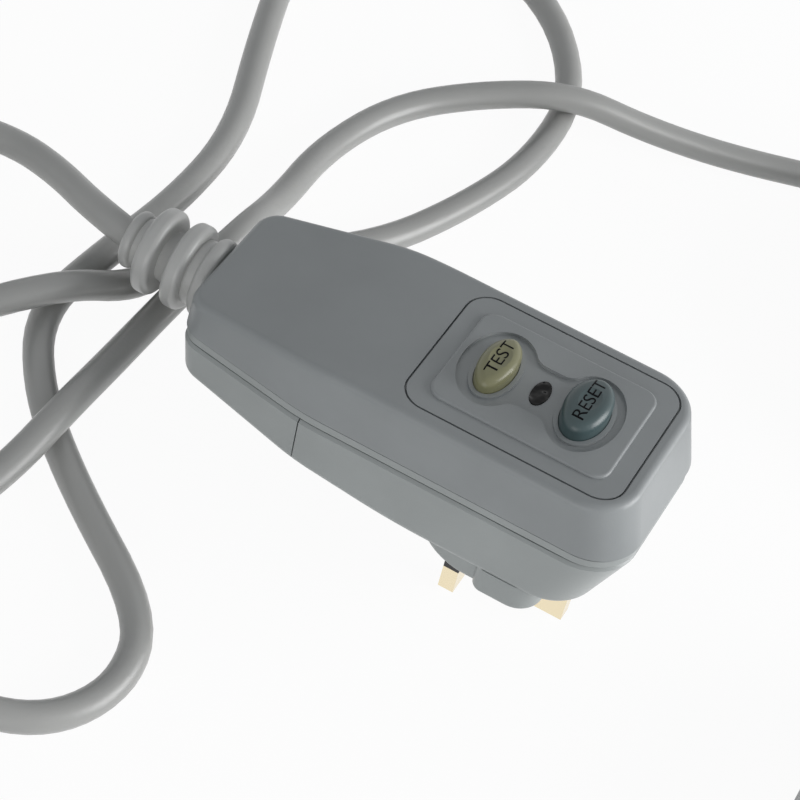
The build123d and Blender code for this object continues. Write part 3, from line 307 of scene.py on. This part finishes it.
relief_exit = plug_point(-relief_length, 0, cord_axis_z)
led_out = plug_point(-relief_length - exit_run, 0, cord_axis_z) + exit_shift
free_route = [
    tuple(relief_exit),
    tuple(led_out),
    (-0.0933, 0.0083, 0.012),
    (-0.1071, 0.0117, 0.0072),
    (-0.1245, 0.0065, 0.0042),
    (-0.1348, -0.0095, lying),
    (-0.1352, -0.0307, lying),
    (-0.125, -0.0459, lying),
    (-0.1074, -0.0516, 0.004),
    (-0.090, -0.0454, 0.0076),
    (-0.073, -0.020, 0.014),
    (-0.0624, -0.0007, 0.0042),
    (-0.0593, 0.013, lying),
    (-0.0455, 0.031, lying),
    (-0.024, 0.059, lying),
    (-0.013, 0.089, lying),
    (-0.0065, 0.119, lying),
    (-0.009, 0.1515, lying),
    (-0.031, 0.176, lying),
    (-0.063, 0.178, lying),
    (-0.086, 0.156, lying),
    (-0.092, 0.124, lying),
    (-0.0814, 0.0916, lying),
    (-0.0699, 0.0616, lying),
    (-0.0689, 0.0316, lying),
    (-0.0728, 0.002, lying),
    (-0.0746, -0.023, lying),
    (-0.0615, -0.042, lying),
    (-0.0405, -0.0573, lying),
    (-0.0095, -0.0738, lying),
    (-0.0039, -0.0922, lying),
    (-0.0111, -0.1105, lying),
    (-0.0283, -0.1206, lying),
    (-0.0462, -0.117, lying),
    (-0.0578, -0.1026, lying),
    (-0.0574, -0.084, 0.005),
    (-0.0538, -0.0665, 0.009),
    (-0.053, -0.0475, 0.0134),
    (-0.0534, -0.024, 0.0065),
    (-0.0532, 0.001, 0.0049),
    (-0.0501, 0.025, 0.016),
    (-0.0496, 0.050, 0.0055),
    (-0.0506, 0.0756, lying),
    (-0.044, 0.104, lying),
    (-0.028, 0.124, 0.008),
    (-0.009, 0.139, 0.0133),
    (0.012, 0.152, 0.0075),
    (0.036, 0.168, lying),
    (0.066, 0.188, lying),
    (0.098, coil_centre[1] + coil_outer, lying),
]


def coil_points():
    """Half circles that spiral in and out again, climbing a layer where the spiral reverses."""
    x, y, z = coil_centre[0], coil_centre[1] + coil_outer, lying
    radius, heading = coil_outer, 1
    points = []
    for layer in range(coil_layers):
        step = -coil_pitch / 2 if layer % 2 == 0 else coil_pitch / 2
        for turn in range(coil_half_turns):
            climb = coil_rise if layer and turn == 0 else 0
            for i in range(points_per_half_turn):
                angle = pi * (i + 0.5) / points_per_half_turn
                across = heading * radius * sin(angle)
                along = heading * radius * (1 - cos(angle))
                points.append((x + across, y - along, z + climb * angle / pi))
            y -= 2 * radius * heading
            z += climb
            heading = -heading
            radius += step
    return points, (x, y, z)


coil_turns, coil_end = coil_points()
socket_inlet = (socket_x, socket_cord_end + socket_grip_length, socket_cord_z)
tail_route = [
    coil_end,
    (0.150, coil_end[1], coil_end[2]),
    (0.1715, 0.193, 0.0265),
    (0.1845, 0.173, 0.020),
    (0.187, 0.148, 0.0115),
    (0.1835, 0.122, 0.0065),
    (0.1735, 0.100, 0.0105),
    (socket_x, socket_inlet[1] + socket_exit_run, 0.0186),
    socket_inlet,
]


def smooth_tube(name, points, radius, finish):
    """A round tube along one NURBS spline."""
    curve = bpy.data.curves.new(name, "CURVE")
    curve.dimensions = "3D"
    curve.bevel_depth = radius
    curve.bevel_resolution = tube_roundness
    curve.resolution_u = tube_steps
    curve.use_fill_caps = True
    spline = curve.splines.new("NURBS")
    spline.points.add(len(points) - 1)
    for point, place in zip(spline.points, points):
        point.co = (*place, 1)
    spline.order_u = 3
    spline.use_endpoint_u = True
    curve.materials.append(finish)
    return in_scene(name, curve)


flex = smooth_tube("flex", free_route + coil_turns + tail_route, cord_radius, flex_vinyl)
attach(flex, "plug_and_lead")
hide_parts("cord_free", "cord_coil", "cord_tail")


# Wording on the buttons, laid on their scooped tops


def cut_finely(mesh):
    """Split a mesh's long edges, so that it can follow a curved surface."""
    cut = bmesh.new()
    cut.from_mesh(mesh)
    bmesh.ops.triangulate(cut, faces=cut.faces)
    for _ in range(cutting_rounds):
        long_edges = [edge for edge in cut.edges if edge.calc_length() > longest_edge]
        bmesh.ops.subdivide_edges(cut, edges=long_edges, cuts=1)
        bmesh.ops.triangulate(cut, faces=cut.faces)
    cut.to_mesh(mesh)
    cut.free()


def button_word(name, word, x, length, button):
    """Black print that reads across the plug, dropped onto a button's top."""
    text = bpy.data.curves.new(name, "FONT")
    text.body = word
    text.size = letter_size
    text.align_x = "CENTER"
    text.align_y = "CENTER"
    text.extrude = letter_relief
    text.offset = letter_thinning
    outline = in_scene(name + "_outline", text)
    bpy.context.view_layer.update()
    stretch = length / outline.dimensions.x
    mesh = bpy.data.meshes.new_from_object(outline)
    bpy.data.objects.remove(outline)
    cut_finely(mesh)
    top = nodes[button]
    into = top.matrix_world.inverted()
    up = plug_turn.to_3x3() @ Vector((0, 0, 1))
    for vertex in mesh.vertices:
        along, upward, lift = vertex.co
        start = plug_point(x - upward, along * stretch, above_buttons)
        _, place, _, _ = top.ray_cast(into @ start, into.to_3x3() @ -up)
        vertex.co = top.matrix_world @ place + up * lift
    mesh.materials.clear()
    mesh.materials.append(ink)
    piece = in_scene(name, mesh)
    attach(piece, button)


button_word("test_word", "TEST", test_x, test_word_length, "test_button")
button_word("reset_word", "RESET", reset_x, reset_word_length, "reset_button")


# Floor, light and camera


def seen_directly(tree):
    """1 on the rays of the camera, of gloss and of glass, and 0 on those that light the object."""
    rays = tree.nodes.new("ShaderNodeLightPath")
    total = rays.outputs["Is Camera Ray"]
    for kind in ("Is Glossy Ray", "Is Transmission Ray"):
        either = tree.nodes.new("ShaderNodeMath")
        either.operation = "MAXIMUM"
        tree.links.new(total, either.inputs[0])
        tree.links.new(rays.outputs[kind], either.inputs[1])
        total = either.outputs[0]
    return total


def pale_floor():
    """A floor that is nearly white to the camera and keeps a faint shadow."""
    mesh = bpy.data.meshes.new("floor")
    corners = [(x * floor_half, y * floor_half, 0) for x, y in ((-1, -1), (1, -1), (1, 1), (-1, 1))]
    mesh.from_pydata(corners, [], [(0, 1, 2, 3)])
    floor = in_scene("floor", mesh)
    material, tree, shader = new_material("floor_white", floor_colour, floor_roughness)
    shader.inputs["Specular IOR Level"].default_value = 0.0
    white = tree.nodes.new("ShaderNodeEmission")
    white.inputs["Strength"].default_value = 1.0
    seen = tree.nodes.new("ShaderNodeMath")
    seen.operation = "MULTIPLY"
    seen.inputs[1].default_value = floor_whiteness
    mix = tree.nodes.new("ShaderNodeMixShader")
    tree.links.new(seen_directly(tree), seen.inputs[0])
    tree.links.new(seen.outputs[0], mix.inputs["Fac"])
    tree.links.new(shader.outputs[0], mix.inputs[1])
    tree.links.new(white.outputs[0], mix.inputs[2])
    tree.links.new(mix.outputs[0], tree.nodes["Material Output"].inputs["Surface"])
    mesh.materials.append(material)


def studio_world():
    """A soft pale surround, white to the camera and in reflections."""
    world = bpy.data.worlds.new("studio")
    bpy.context.scene.world = world
    world.use_nodes = True
    tree = world.node_tree
    surround = tree.nodes["Background"]
    surround.inputs["Color"].default_value = (*surround_tint, 1)
    surround.inputs["Strength"].default_value = surround_strength
    white = tree.nodes.new("ShaderNodeBackground")
    white.inputs["Color"].default_value = (1, 1, 1, 1)
    mix = tree.nodes.new("ShaderNodeMixShader")
    tree.links.new(seen_directly(tree), mix.inputs["Fac"])
    tree.links.new(surround.outputs[0], mix.inputs[1])
    tree.links.new(white.outputs[0], mix.inputs[2])
    tree.links.new(mix.outputs[0], tree.nodes["World Output"].inputs["Surface"])


def softbox(name, place, size, power):
    """A square area lamp aimed at the plug."""
    lamp = bpy.data.lights.new(name, "AREA")
    lamp.size = size
    lamp.energy = power
    piece = in_scene(name, lamp)
    piece.location = place
    piece.rotation_euler = (lamp_aim - place).to_track_quat("-Z", "Y").to_euler()


def photograph_camera():
    """The scene's camera, where the photograph was taken from."""
    camera_data = bpy.data.cameras.new("camera")
    camera_data.sensor_width = sensor_width
    camera_data.lens = focal_pixels / photo_width * sensor_width
    camera = in_scene("camera", camera_data)
    forward = camera_forward.normalized()
    right = (camera_right - camera_right.dot(forward) * forward).normalized()
    above = right.cross(forward)
    turn = Matrix((right, above, -forward)).transposed().to_4x4()
    camera.matrix_world = Matrix.Translation(camera_place) @ turn
    bpy.context.scene.camera = camera


pale_floor()
studio_world()
softbox("key", key_place, key_size, key_power)
softbox("front", front_place, front_size, front_power)
photograph_camera()
bpy.context.scene.view_settings.view_transform = "Standard"
